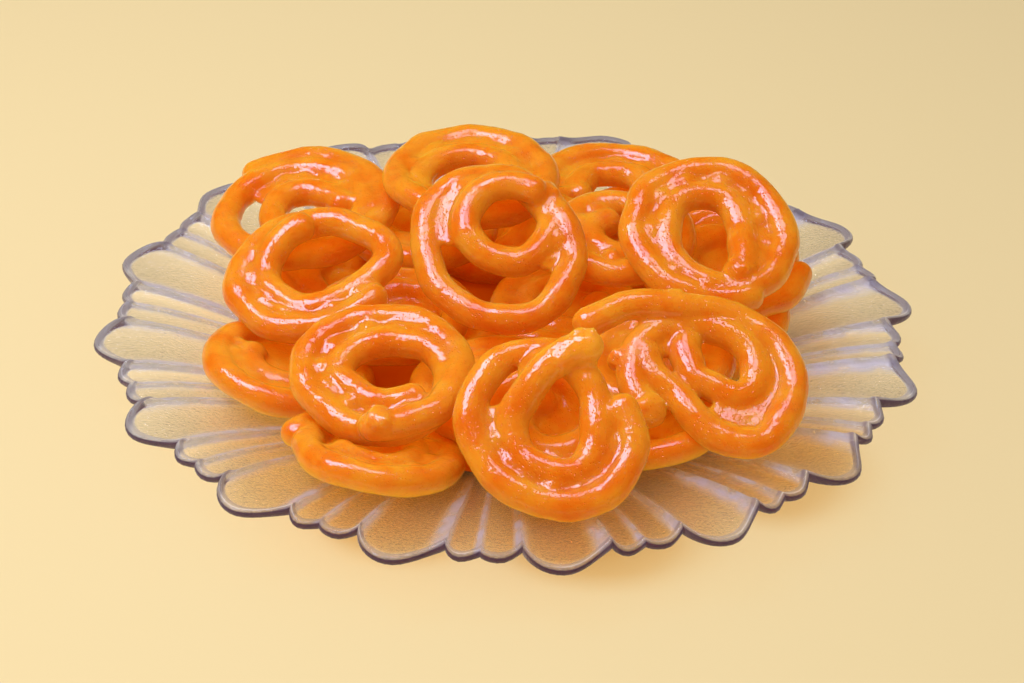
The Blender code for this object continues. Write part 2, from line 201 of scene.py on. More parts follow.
# Upper face of the plate: flat middle, a smooth S up to the rim, and ridges that grow outward and
# follow a power of the distance from a petal's middle. With uneven set, the small ridges between
# two narrow petals stay lower.
def plateTop(x, y, ridgeShare=1.0, power=2.0, uneven=False):
    s = plateShape
    radius = np.hypot(x, y)
    turn = (np.degrees(np.arctan2(y, x)) - s["firstTip"]) * s["petalGroups"] / 360
    _, across, notchRise = petalAt(turn)
    rise = smoothStep((radius - s["floorRadius"]) / (s["slopeEnd"] - s["floorRadius"]))
    swell = np.clip((radius - s["ridgeStart"]) / (s["slopeEnd"] - s["ridgeStart"]), 0, 1)
    ridge = np.abs(across) ** power * (notchRise if uneven else 1)
    return (s["floorTop"] + (s["rimTop"] - s["floorTop"]) * rise
            + ridgeShare * s["ridgeHeight"] * swell * (ridge - s["ridgeLevel"]))


# Smooth curve through equally spaced values, read at fractions of their spacing.
def through(values, at):
    values = np.asarray(values, float)
    padded = np.concatenate([[2 * values[0] - values[1]], values, [2 * values[-1] - values[-2]]])
    index = np.clip(np.floor(at).astype(int), 0, len(values) - 2)
    t = at - index
    before, here, after, beyond = (padded[index + shift] for shift in range(4))
    slope = (after - before) / 2
    nextSlope = (beyond - here) / 2
    return ((2 * t**3 - 3 * t**2 + 1) * here + (t**3 - 2 * t**2 + t) * slope
            + (3 * t**2 - 2 * t**3) * after + (t**3 - t**2) * nextSlope)


# Centre line of a strand lying flat: polar, with the radius a smooth curve of the turn.
def coilPath(coil, step):
    eighths = len(coil["radii"]) - 1
    turned = np.linspace(0, eighths * 45, int(round(eighths * 45 / step)) + 1)
    radius = through(coil["radii"], turned / 45)
    angle = np.radians(coil["first"] + coil["sense"] * turned)
    startHeight, startReach = coil["startLift"]
    endHeight, endReach = coil["endLift"]
    height = (startHeight * smoothStep(1 - turned / startReach)
              + endHeight * smoothStep(1 - (turned[-1] - turned) / endReach))
    return np.stack([coil["centre"][0] + radius * np.cos(angle),
                     coil["centre"][1] + radius * np.sin(angle), height], axis=1)


# Turn about the piece's own axis first, then a lean that takes one side down.
def turnMatrix(turned, lean, toward):
    about, lean, toward = radians(turned), radians(lean), radians(toward)
    spin = np.array([[cos(about), -sin(about), 0], [sin(about), cos(about), 0], [0, 0, 1]])
    axis = (-sin(toward), cos(toward))
    cross = np.array([[0, 0, axis[1]], [0, 0, -axis[0]], [-axis[1], axis[0], 0]])
    return (np.eye(3) + sin(lean) * cross + (1 - cos(lean)) * cross @ cross) @ spin


# Lowest height at which a strand clears the plate and the strands already laid.
def settledHeight(path, laid):
    s = strandShape
    clear = s["settleRadius"] * np.hypot(1, s["slope"]) + s["gap"] + s["spare"]
    needed = np.max(plateTop(path[:, 0], path[:, 1]) + clear - path[:, 2])
    reach = 2 * s["settleRadius"] + s["gap"]
    for other in laid:
        apart = np.hypot(path[:, None, 0] - other[None, :, 0], path[:, None, 1] - other[None, :, 1])
        touching = apart < reach
        if touching.any():
            over = other[None, :, 2] + np.sqrt(np.clip(reach**2 - apart**2, 0, None)) - path[:, None, 2]
            needed = max(needed, np.max(over[touching]))
    return needed


# Rings of points round a flat path: ellipses square to it, as wide and as high as the two arrays
# over ring and side say. Each end is half a ball: rings that shrink with the cosine of their
# angle as they move out.
def tubeRings(path, halfWidth, halfHeight, capRings=7):
    along = np.gradient(path, axis=0)
    along /= np.linalg.norm(along, axis=1, keepdims=True)
    turn = np.linspace(0, np.pi / 2, capRings + 1)[1:]
    out = np.sin(turn)[:, None]
    head = path[0] - along[0] * out[::-1] * halfHeight[0].mean()
    tail = path[-1] + along[-1] * out * halfHeight[-1].mean()
    shrink = np.maximum(np.cos(turn), 0.02)[:, None]
    halfWidth = np.concatenate([halfWidth[0] * shrink[::-1], halfWidth, halfWidth[-1] * shrink])
    halfHeight = np.concatenate([halfHeight[0] * shrink[::-1], halfHeight, halfHeight[-1] * shrink])
    along = np.concatenate([np.repeat(along[:1], capRings, 0), along, np.repeat(along[-1:], capRings, 0)])
    path = np.concatenate([head, path, tail])
    sideways = np.cross(along, [0, 0, 1.0])
    sideways /= np.linalg.norm(sideways, axis=1, keepdims=True)
    upward = np.cross(sideways, along)
    around = np.arange(halfWidth.shape[1]) * 2 * np.pi / halfWidth.shape[1]
    return (path[:, None] + (halfWidth * np.cos(around))[:, :, None] * sideways[:, None]
            + (halfHeight * np.sin(around))[:, :, None] * upward[:, None])


# Faces of a grid whose rows are closed rings, with one vertex more at each end that closes it.
def gridToMesh(name, grids):
    vertices, faces, start = [], [], 0
    for grid in grids:
        rows, columns = grid.shape[:2]
        row = np.arange(rows - 1)[:, None] * columns
        column = np.arange(columns)[None, :]
        beyond = (column + 1) % columns
        quads = np.stack([row + column, row + beyond, row + columns + beyond, row + columns + column],
                         axis=-1).reshape(-1, 4) + start
        first = start + rows * columns
        last = first + 1
        ring = np.arange(columns)
        nextRing = (ring + 1) % columns
        lastRow = start + (rows - 1) * columns
        headFan = np.stack([np.full(columns, first), start + nextRing, start + ring], axis=1)
        tailFan = np.stack([np.full(columns, last), lastRow + ring, lastRow + nextRing], axis=1)
        ends = [grid[:1].mean(axis=1), grid[-1:].mean(axis=1)]
        vertices.append(np.concatenate([grid.reshape(-1, 3), *ends]))
        faces += quads.tolist() + headFan.tolist() + tailFan.tolist()
        start += rows * columns + 2
    mesh = bpy.data.meshes.new(name)
    mesh.from_pydata((np.concatenate(vertices) * mm).tolist(), [], faces)
    mesh.update()
    return mesh


# One object at the origin, with one material.
def linked(name, mesh, material):
    mesh.materials.clear()
    mesh.materials.append(material)
    item = bpy.data.objects.new(name, mesh)
    bpy.context.scene.collection.objects.link(item)
    return item


# Places or normals of a mesh's points, one row each.
def readPoints(mesh, what):
    flat = np.empty(len(mesh.vertices) * 3, np.float32)
    mesh.vertices.foreach_get(what, flat)
    return flat.reshape(-1, 3).astype(float)


# Number at every point, which the materials read by its name.
def writeShare(mesh, name, share):
    mesh.attributes.new(name, "FLOAT", "POINT").data.foreach_set("value", share.astype(np.float32))


# Runs crossing strands together: a skin is drawn round all of them at once, then smoothed so
# that the creases fill as syrup fills them.
def fusedMesh(name, grids, voxel, softening):
    item = bpy.data.objects.new(name, gridToMesh(name, grids))
    bpy.context.scene.collection.objects.link(item)
    skin = item.modifiers.new("skin", "REMESH")
    skin.mode = "VOXEL"
    skin.voxel_size = voxel * mm
    soft = item.modifiers.new("soft", "SMOOTH")
    soft.factor = 0.5
    soft.iterations = softening
    bpy.context.view_layer.update()
    shown = item.evaluated_get(bpy.context.evaluated_depsgraph_get())
    mesh = bpy.data.meshes.new_from_object(shown)
    bpy.data.objects.remove(item, do_unlink=True)
    mesh.name = name
    return mesh


# Values of a node's own sockets.
def setInputs(node, inputs):
    for key, value in inputs.items():
        node.inputs[key].default_value = value


# One node of a kind, with its sockets' values and its other settings.
def addNode(tree, kind, inputs=None, **settings):
    node = tree.nodes.new(kind)
    for key, value in settings.items():
        setattr(node, key, value)
    setInputs(node, inputs or {})
    return node


# One shader where the amount is 0 and another where it is 1.
def mixedShader(tree, amount, first, second):
    both = addNode(tree, "ShaderNodeMixShader")
    tree.links.new(amount, both.inputs[0])
    tree.links.new(first, both.inputs[1])
    tree.links.new(second, both.inputs[2])
    return both.outputs[0]


# Colour of one mix after another: each amount, a socket or an attribute of the mesh, leads to its
# own colour, itself a value or a socket.
def layeredColour(tree, base, layers):
    colour = None
    for amount, layer in layers:
        if isinstance(amount, str):
            amount = addNode(tree, "ShaderNodeAttribute", attribute_name=amount).outputs["Fac"]
        mix = addNode(tree, "ShaderNodeMix", data_type="RGBA")
        below, above = [socket for socket in mix.inputs if socket.type == "RGBA"]
        tree.links.new(amount, mix.inputs["Factor"])
        if isinstance(layer, tuple):
            above.default_value = layer
        else:
            tree.links.new(layer, above)
        if colour is None:
            below.default_value = base
        else:
            tree.links.new(colour, below)
        colour = [socket for socket in mix.outputs if socket.type == "RGBA"][0]
    return colour


# Material with its node tree, its main shader and its output.
def newMaterial(name):
    material = bpy.data.materials.new(name)
    material.use_nodes = True
    tree = material.node_tree
    return material, tree, tree.nodes["Principled BSDF"], tree.nodes["Material Output"]


jalebiFinish = dict(
    # paleAndLitThrough: a paler tone at knobs, and painted light coming through thin undersides
    deep=(0.78, 0.18, 0.007, 1), bright=(0.82, 0.295, 0.018, 1), paleAndLitThrough=(1.0, 0.45, 0.042, 1),
    blotch=80, deepAt=0.36, brightAt=0.64,
    wrinkle=800, wrinkleShare=0.5, wrinkleDepth=0.2 * mm,
    pit=900, pitWidth=0.34, pitShare=0.9, pitDepth=0.24 * mm,
    glow=(0.86, 0.69, 0.28, 1),                   # lamp light that comes through a strand
    surface={"Roughness": 0.5, "Specular IOR Level": 0.0, "Subsurface Weight": 1.0,
             "Subsurface Radius": (1.0, 0.55, 0.12), "Subsurface Scale": 8 * mm,
             "Coat Weight": 1.0, "Coat Roughness": 0.02, "Coat IOR": 1.55},
)


# Batter soaked in syrup: blotches from deep to bright orange, paler at knobs, and painted light coming
# through thin undersides, with fine wrinkles and round pits under a clear coat. Lamp light passes tinted.
def makeJalebiMaterial():
    f = jalebiFinish
    material, tree, shader, output = newMaterial("syrupSoakedBatter")
    place = addNode(tree, "ShaderNodeTexCoord").outputs["Object"]
    blotch = addNode(tree, "ShaderNodeTexNoise", {"Scale": f["blotch"], "Detail": 3, "Roughness": 0.55})
    spread = addNode(tree, "ShaderNodeMapRange", {"From Min": f["deepAt"], "From Max": f["brightAt"]})
    tree.links.new(place, blotch.inputs["Vector"])
    tree.links.new(blotch.outputs["Fac"], spread.inputs["Value"])
    # the pale share mixes in paler knobs and painted light coming through thin undersides
    colour = layeredColour(tree, f["deep"], [(spread.outputs["Result"], f["bright"]), ("paleAndLitThrough", f["paleAndLitThrough"])])
    tree.links.new(colour, shader.inputs["Base Color"])

    wrinkle = addNode(tree, "ShaderNodeTexNoise", {"Scale": f["wrinkle"], "Detail": 3, "Roughness": 0.45})
    pit = addNode(tree, "ShaderNodeTexVoronoi", {"Scale": f["pit"]}, feature="F1")
    pitWall = addNode(tree, "ShaderNodeMapRange", {"From Min": 0.0, "From Max": f["pitWidth"]},
                      interpolation_type="SMOOTHSTEP")
    wrinkled = addNode(tree, "ShaderNodeBump", {"Strength": f["wrinkleShare"], "Distance": f["wrinkleDepth"]})
    pitted = addNode(tree, "ShaderNodeBump", {"Strength": f["pitShare"], "Distance": f["pitDepth"]})
    tree.links.new(place, wrinkle.inputs["Vector"])
    tree.links.new(place, pit.inputs["Vector"])
    tree.links.new(wrinkle.outputs["Fac"], wrinkled.inputs["Height"])
    tree.links.new(pit.outputs["Distance"], pitWall.inputs["Value"])
    tree.links.new(pitWall.outputs["Result"], pitted.inputs["Height"])
    tree.links.new(wrinkled.outputs["Normal"], pitted.inputs["Normal"])
    tree.links.new(pitted.outputs["Normal"], shader.inputs["Normal"])
    tree.links.new(pitted.outputs["Normal"], shader.inputs["Coat Normal"])
    setInputs(shader, f["surface"])

    light = addNode(tree, "ShaderNodeLightPath")
    glow = addNode(tree, "ShaderNodeBsdfTransparent", {"Color": f["glow"]})
    both = mixedShader(tree, light.outputs["Is Shadow Ray"], shader.outputs[0], glow.outputs[0])
    tree.links.new(both, output.inputs["Surface"])
    return material


glassFinish = dict(
    # ridge is a painted lavender reflection on the ridge flanks; lipHighlight is a painted highlight
    clear=(0.99, 0.985, 0.98, 1), ridge=(0.45, 0.44, 0.68, 1), lipHighlight=(0.88, 0.88, 1.0, 1),
    # edge is painted dark refraction on the rim's side and in a band above it
    edge=(0.07, 0.035, 0.08, 1),
    syrupAndHeapLightColour=(1.0, 0.64, 0.11, 1), hollow=(0.62, 0.30, 0.05, 1),    # syrup film and painted orange light from the heap, darker in pebble hollows
    hollowAt=0.34, hollowFrom=0.52, hollowShare=0.75,
    veil=0.62, seeThrough=0.3,                    # clearness lost where veiled, and kept elsewhere
    pebble=950, pebbleDepth=0.36 * mm,
    shadowTint=(0.99, 0.98, 0.96, 1),
    surface={"Roughness": 0.04, "IOR": 1.32, "Sheen Weight": 0.25, "Sheen Roughness": 0.5,
             "Sheen Tint": (0.96, 0.91, 1.0, 1)},
)


# Pressed glass: clear, pebbled all over, coloured by the shares that makePlate lays on it: painted
# reflection, highlight and dark refraction, and amber from syrup and painted heap light. Light on
# its way to something else goes straight through, faintly tinted.
def makeGlassMaterial():
    f = glassFinish
    material, tree, shader, output = newMaterial("pressedGlass")
    place = addNode(tree, "ShaderNodeTexCoord").outputs["Object"]
    pebble = addNode(tree, "ShaderNodeTexNoise", {"Scale": f["pebble"], "Detail": 2, "Roughness": 0.5})
    hollow = addNode(tree, "ShaderNodeMapRange",
                     {"From Min": f["hollowFrom"], "From Max": f["hollowAt"], "To Max": f["hollowShare"]})
    tree.links.new(place, pebble.inputs["Vector"])
    tree.links.new(pebble.outputs["Fac"], hollow.inputs["Value"])
    # amber: syrup film plus painted orange light from the heap, darker in pebble hollows
    amber = layeredColour(tree, f["syrupAndHeapLightColour"], [(hollow.outputs["Result"], f["hollow"])])
    colour = layeredColour(tree, f["clear"], [("syrupAndHeapLight", amber), ("ridge", f["ridge"]), ("lipHighlight", f["lipHighlight"]),
                                              ("edge", f["edge"])])
    tree.links.new(colour, shader.inputs["Base Color"])

    veil = addNode(tree, "ShaderNodeAttribute", attribute_name="veil").outputs["Fac"]
    clearness = addNode(tree, "ShaderNodeMapRange", {"To Min": 1.0, "To Max": 1 - f["veil"]})
    solid = addNode(tree, "ShaderNodeMapRange", {"To Min": 1 - f["seeThrough"], "To Max": 1.0})
    tree.links.new(veil, clearness.inputs["Value"])
    tree.links.new(veil, solid.inputs["Value"])
    tree.links.new(clearness.outputs["Result"], shader.inputs["Transmission Weight"])
    tree.links.new(solid.outputs["Result"], shader.inputs["Alpha"])
    bump = addNode(tree, "ShaderNodeBump", {"Strength": 1.0, "Distance": f["pebbleDepth"]})
    tree.links.new(pebble.outputs["Fac"], bump.inputs["Height"])
    tree.links.new(bump.outputs["Normal"], shader.inputs["Normal"])
    setInputs(shader, f["surface"])

    light = addNode(tree, "ShaderNodeLightPath")
    straight = addNode(tree, "ShaderNodeBsdfTransparent", {"Color": f["shadowTint"]}).outputs[0]
    bounced = mixedShader(tree, light.outputs["Is Diffuse Ray"], shader.outputs[0], straight)
    both = mixedShader(tree, light.outputs["Is Shadow Ray"], bounced, straight)
    tree.links.new(both, output.inputs["Surface"])
    return material


# Strand of a jalebi: the coil's path wanders a little, and its section swells and thins along it
# and round it.
def strandGrid(path, seed):
    s = strandShape
    length = np.concatenate([[0], np.cumsum(np.linalg.norm(np.diff(path, axis=0), axis=1))])[:, None]
    wander = np.stack([waves(length, s["wanderLength"], seed * 10 + axis) for axis in range(3)], axis=1)
    fade = np.clip(np.minimum(length, length[-1] - length) / s["wanderFade"], 0, 1)
    path = path + s["wander"] * fade * wander * (1, 1, s["wanderRise"])
    around = np.arange(s["sides"]) * 2 * np.pi / s["sides"]
    ring = s["roundRadius"] * np.cos(around), s["roundRadius"] * np.sin(around)
    spots = np.stack(np.broadcast_arrays(length, *ring), axis=2)
    alongSwell = waves(length, s["alongLength"], seed * 10 + 4)[:, None]
    roundSwell = waves(spots, s["roundLength"], seed * 10 + 5)
    swell = 1 + s["swell"] * (s["alongShare"] * alongSwell + s["roundShare"] * roundSwell)
    return tubeRings(path, s["halfWidth"] * swell, s["halfHeight"] * swell)


# Batter run together between one turn and the next: a flat ellipse midway between them, thinner
# the further they are apart. Where the gap is wider than the reach it shrinks into the inner strand.
def webGrid(coil, seed):
    path = coilPath(coil, web["step"])
    lap = 360 // web["step"]
    fade = web["fade"]
    if len(path) <= lap + 2 * fade:
        return []
    inner, outer = path[:-lap], path[lap:]
    apart = np.linalg.norm(outer - inner, axis=1)
    gap = apart - 2 * strandShape["halfWidth"]
    touching, loss, reach = coil.get("web", (web["depth"], web["loss"], web["reach"]))
    depth = np.clip(touching - loss * np.maximum(gap, 0), 0.05, None)
    along = np.arange(len(gap))[:, None] * 1.0
    depth *= 1 + web["unsteady"] * waves(along, web["unsteadyLength"], seed)
    joined = np.where(gap > reach, 0.0, 1.0)
    window = np.ones(2 * fade + 1) / (2 * fade + 1)
    joined = np.convolve(np.pad(joined, fade, mode="edge"), window, mode="valid")
    depth = np.maximum(depth * np.minimum(1, 2 * joined), web["least"])
    wide = np.maximum(web["wideShare"] * apart * joined, web["least"])
    middle = inner + (outer - inner) * 0.5 * joined[:, None]
    sides = np.ones((1, strandShape["sides"]))
    return [tubeRings(middle, wide[:, None] * sides, depth[:, None] * sides)]


# Knob of batter: a ball stretched along the strand, its corners squared by raising each direction
# to a power below one, its radius unsteady.
def knobGrid(path, knob, seed):
    s = knobShape
    place, outward, upward, halfLength, halfWidth, halfHeight, _ = knob
    row = int(np.clip(round(place * 45 / strandShape["fineStep"]), 1, len(path) - 2))
    along = path[row + 1] - path[row - 1]
    along /= np.linalg.norm(along)
    sideways = np.cross(along, [0, 0, 1.0])
    sideways *= np.sign(sideways @ (path[row] * (1, 1, 0)))
    middle = path[row] + sideways * outward + np.array([0, 0, upward])
    tilt = np.linspace(-s["tilt"], s["tilt"], s["rings"])[:, None]
    around = (np.arange(s["sides"]) * 2 * np.pi / s["sides"])[None, :]
    direction = np.stack([np.sin(tilt) + 0 * around, np.cos(tilt) * np.cos(around),
                          np.cos(tilt) * np.sin(around)], axis=2)
    blunt = np.sign(direction) * np.abs(direction) ** s["blunt"]
    blunt *= 1 + s["rough"] * waves(direction * s["roughReach"], s["roughLength"], seed)[..., None]
    stretch = np.stack([along * halfLength, sideways * halfWidth, np.array([0, 0, halfHeight])])
    return middle + blunt @ stretch, middle


# Batter that fills the gap between two strands side by side: a flat ellipse from one path to the other.
def bridgeGrid(inner, outer):
    apart = np.linalg.norm(outer - inner, axis=1)[:, None]
    sides = np.ones((len(inner), strandShape["sides"]))
    return tubeRings((inner + outer) / 2, 0.9 * apart / 2 * sides, bridge["depth"] * sides)


# Film that closes the middle of a coil: a flat lens as wide as the first turn, its edge rounded by
# the root of one less a high power of the distance out.
def filmGrid(coil):
    reach = np.mean(coil["radii"][:8])
    share = np.concatenate([np.linspace(0.05, 1, film["rings"]), np.linspace(1, 0.05, film["rings"])[1:]])
    side = np.where(np.arange(len(share)) < film["rings"], -1, 1)
    angle = np.arange(film["columns"]) * 2 * np.pi / film["columns"]
    rounded = np.sqrt(np.clip(1.02 - share**8, 0, 1))
    height = side * (film["halfDepth"] + film["rimDepth"] * share**2) * rounded - film["sink"]
    return np.stack([coil["centre"][0] + reach * share[:, None] * np.cos(angle),
                     coil["centre"][1] + reach * share[:, None] * np.sin(angle),
                     np.broadcast_to(height[:, None], (len(share), len(angle)))], axis=2)


# One jalebi: its strands settle on what is laid already, webs, films and knobs are run together
# with them, and ripples of three lengths lift the skin. Paler at knobs, and painted light on the undersides.
def makeJalebi(entry, number, laid, material):
    node, coilName, x, y, turned, lean, toward, shows = entry
    s = strandShape
    strands = [coils[coilName]] + ([sideStrand] if coilName == "frontRight" else [])
    rotation = turnMatrix(turned, lean, toward).T
    place = np.array([x, y, 0.0])
    rough = [coilPath(coil, s["pathStep"]) @ rotation + place for coil in strands]
    height = max(settledHeight(path, laid) for path in rough)
    laid += [path + (0, 0, height) for path in rough]
    settled = place + (0, 0, height)
    grids, spots = [], []
    for part, coil in enumerate(strands):
        path = coilPath(coil, s["fineStep"])
        grids.append(strandGrid(path, number * 2 + part))
        grids += webGrid(coil, number * 2 + part)
        if node.split("_")[1] in film["layers"]:
            grids.append(filmGrid(coil))
        for knob in knobs.get(coilName if part == 0 else "sideStrand", []):
            grid, middle = knobGrid(path, knob, number * 9 + len(grids))
            grids.append(grid)
            spots.append((middle @ rotation + settled, max(knob[3:6]), knob[6]))
    if len(strands) == 2:
        joined = zip(strands[::-1], (bridge["sideSpan"], bridge["mainSpan"]))
        inner, outer = (coilPath(coil, web["step"])[np.linspace(*span, bridge["points"]).round().astype(int)]
                        for coil, span in joined)
        grids.append(bridgeGrid(inner, outer))
    grids = [grid @ rotation + settled for grid in grids]
    mesh = fusedMesh(node + "_glazed", grids, s["voxel"] if shows else s["hiddenVoxel"], s["softening"])
    points = readPoints(mesh, "co") / mm
    normals = readPoints(mesh, "normal")
    lift = sum(rise * waves(points, length, number + seed) for rise, length, seed in s["ripples"])
    outward = normals @ rotation.T           # in the coil's own plane: z is up out of it
    # painted light: undersides turned away from the coil's up are painted paler, as if lit through
    paleAndLitThrough = s["litThroughShare"] * smoothStep(s["edgeFrom"] - s["edgeSlope"] * outward[:, 2])
    knobRise, knobLength, knobSeed = knobShape["ripple"]
    for middle, size, amount in spots:
        apart = np.linalg.norm(points - middle, axis=1)
        near = np.exp(-(apart / (knobShape["spread"] * size)) ** 2)
        paleAndLitThrough = np.maximum(paleAndLitThrough, amount * near)
        lift += knobRise * near * waves(points, knobLength, number + knobSeed)
    points += normals * lift[:, None]
    mesh.vertices.foreach_set("co", (points * mm).astype(np.float32).ravel())
    writeShare(mesh, "paleAndLitThrough", paleAndLitThrough)
    mesh.shade_smooth()
    mesh.update()
    piece = linked(node + "_glazed", mesh, material)
    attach(piece, "root")
    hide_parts(node)
    return piece


# Columns of the plate: each petal has its own, which crowd toward its notches as a cosine does.
def plateColumns():
    s = plateShape
    turns = []
    for group in range(s["petalGroups"]):
        for petal in petals:
            columns = s["wideColumns"] if petal["reach"] == 1 else s["narrowColumns"]
            part = (1 - np.cos(np.linspace(0, np.pi, columns, endpoint=False))) / 2
            turns.append(group + petal["start"] + (petal["end"] - petal["start"]) * part)
    turns = np.concatenate(turns)
    reach, across, _ = petalAt(turns)
    return np.radians(s["firstTip"] + turns * 360 / s["petalGroups"]), reach, across


# Rings of the plate, from the middle of the foot out along the underside, round the rim in half an
# ellipse, and back over the upper face, whose edge stands up in a bell-shaped lip. Also gives the
# first ring of the rim and the first after it.
def plateRings(angle, reach):
    s = plateShape
    half = s["rimGlass"] / 2
    outer = reach - half                     # where the rounded rim begins
    direction = np.stack([np.cos(angle), np.sin(angle)], axis=1)

    def ring(radius, under):
        x, y = radius * np.cos(angle), radius * np.sin(angle)
        ridgeShare, power = (s["underRidge"], s["underPower"]) if under else (1.0, s["ridgePower"])
        thinned = smoothStep((radius - s["thinFrom"]) / s["thinOver"])
        thickness = s["glass"] + (s["rimGlass"] - s["glass"]) * thinned
        height = plateTop(x, y, ridgeShare, power, uneven=True) - thickness * under
        return np.stack([x, y, height], axis=1)

    rings = []
    for radius in (*s["footRings"], s["footRadius"]):
        foot = ring(radius, True)
        foot[:, 2] = 0
        rings.append(foot)
    for share in np.append(np.linspace(0, 0.97, 25)[1:], [0.988, 1]):
        under = ring(s["footRadius"] + (outer - s["footRadius"]) * share, True)
        under[:, 2] = np.maximum(under[:, 2], 0.02) * smoothStep(share * 8)
        rings.append(under)
    low, high = rings[-1], ring(outer, False)
    rimStart = len(rings)
    for turn in np.linspace(-s["rimTurn"], s["rimTurn"], s["rimRings"]):
        rim = (low + high) / 2
        rim[:, 2] += (high - low)[:, 2] / 2 * sin(radians(turn))
        rim[:, :2] += half * cos(radians(turn)) * direction
        rings.append(rim)
    rimEnd = len(rings)
    for share in 1 - np.concatenate([np.linspace(0, 0.06, 12), np.linspace(0.06, 1, 40)[1:]]):
        radius = s["floorRadius"] + (outer - s["floorRadius"]) * share
        top = ring(radius, False)
        bell = np.exp(-((outer - radius) / s["lipWidth"]) ** 2)
        top[:, 2] += s["lipHeight"] * (bell - 1) * smoothStep(share * 4)
        rings.append(top)
    rings += [ring(radius, False) for radius in s["floorRings"]]
    return np.array(rings), rimStart, rimEnd


# where each colour starts and over how many mm it comes in, and its greatest share
plateLooks = dict(
    outwardFrom=62, outwardOver=30,               # painted ridge reflections come in beyond the flat middle
    flankShare=0.85, flankAfter=0.50, flankBefore=0.76, flankOver=0.3,
    # line and the rim's side: painted dark refraction
    lineShare=0.6, lineWidth=4.4, lineFade=1.4,
    # a painted highlight line along the top of the rim
    highlightShare=0.8, highlightAt=1.6, highlightSpread=0.5,
    edgeVeil=1.5, sideVeil=2.3,
    # amber: syrup film plus painted orange light from the heap, strongest at the front, gone at the far left
    amberReach=70, amberFrontFrom=-30, amberFrontOver=50, amberLeftFrom=-130, amberLeftOver=55, amberElsewhere=0.05,
)


# What colours the plate, each from 0 to 1. Ridge is a painted reflection on the flanks of the ridges,
# the lip highlight a painted highlight in a thin bell-shaped line inside the rim, and edge painted dark
# refraction on the rim's side and in a band above it: these are the same all the way round. The amber
# share, a syrup film plus painted orange light from the heap, fades with the distance from the heap and
# is strongest at the front. Veil is how much of the clearness they take.
def plateColours(grid, rimStart, rimEnd, reach, across, footprint):
    s = plateLooks
    x, y = grid[..., 0], grid[..., 1]
    radius = np.hypot(x, y)
    row = np.arange(len(grid))[:, None]
    upper = row >= rimEnd - 3
    side = (row >= rimStart - 1) & ~upper
    outward = smoothStep((radius - s["outwardFrom"]) / s["outwardOver"])
    # painted reflection: lavender bands on the flanks of the ridges beyond the flat middle
    flankFrom = np.where(across > 0, s["flankAfter"], s["flankBefore"])
    flankReflection = s["flankShare"] * smoothStep((np.abs(across) - flankFrom) / s["flankOver"])
    flankReflection = flankReflection * np.clip(0.8 + 0.3 * waves(grid, 7, 31), 0, 1)
    fromEdge = reach - radius
    # painted dark refraction: a dark band inside the rim, and all of the rim's side
    line = s["lineShare"] * upper * smoothStep((s["lineWidth"] - fromEdge) / s["lineFade"])
    # painted highlight: a thin bell-shaped line along the top of the rim
    bell = np.exp(-((fromEdge - s["highlightAt"]) / s["highlightSpread"]) ** 2)
    lipHighlight = s["highlightShare"] * upper * bell * np.clip(0.65 + 0.45 * waves(grid, 22, 35), 0.2, 1)
    edge = np.maximum(side, line * (1 - lipHighlight))
    ridge = flankReflection * outward * (1 - lipHighlight)
    veil = np.maximum(np.maximum(ridge, lipHighlight), np.maximum(s["edgeVeil"] * edge, s["sideVeil"] * side))
    # amber share: syrup film plus painted orange light from the heap, stronger toward the front
    near = np.min(np.hypot(x[..., None] - footprint[:, 0], y[..., None] - footprint[:, 1]), axis=-1)
    frontShare = smoothStep((s["amberFrontFrom"] - y) / s["amberFrontOver"])
    syrupAndHeapLight = (1 - smoothStep(near / s["amberReach"])) * (s["amberElsewhere"] + (1 - s["amberElsewhere"]) * frontShare)
    syrupAndHeapLight *= smoothStep((x - s["amberLeftFrom"]) / s["amberLeftOver"])
    return dict(ridge=ridge, lipHighlight=lipHighlight, edge=edge, syrupAndHeapLight=syrupAndHeapLight, veil=veil)


# Plate: one closed profile carried round all petals.
def makePlate(material, footprint):
    angle, reach, across = plateColumns()
    grid, rimStart, rimEnd = plateRings(angle, reach)
    mesh = gridToMesh("plate_pressed", [grid])
    colours = plateColours(grid, rimStart, rimEnd, reach, across, footprint)
    for name, share in colours.items():
        writeShare(mesh, name, np.append(share.ravel(), [0, 0]))      # two points close the ends
    mesh.shade_smooth()
    piece = linked("plate_pressed", mesh, material)
    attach(piece, "root")
    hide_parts("plate")


syrupPool = dict(
    reach=74, ragged=7, raggedLength=34, rings=26, columns=96,
    under=0.05, edge=0.1, film=0.25, filmSteep=9, depth=1.1, depthSteep=1.6,     # over the plate
    dark=(0.50, 0.085, 0.001, 1), light=(0.78, 0.20, 0.003, 1), cloud=60,
    surface={"Roughness": 0.08, "IOR": 1.45},
)


# Syrup, clouded from dark to light amber.
def makeSyrupMaterial():
    material, tree, shader, _ = newMaterial("pooledSyrup")
    place = addNode(tree, "ShaderNodeTexCoord")
    cloud = addNode(tree, "ShaderNodeTexNoise", {"Scale": syrupPool["cloud"], "Detail": 2})
    ramp = addNode(tree, "ShaderNodeValToRGB")
    ramp.color_ramp.elements[0].color = syrupPool["dark"]
    ramp.color_ramp.elements[1].color = syrupPool["light"]
    tree.links.new(place.outputs["Object"], cloud.inputs["Vector"])
    tree.links.new(cloud.outputs["Fac"], ramp.inputs["Fac"])
    tree.links.new(ramp.outputs["Color"], shader.inputs["Base Color"])
    setInputs(shader, syrupPool["surface"])
    return material


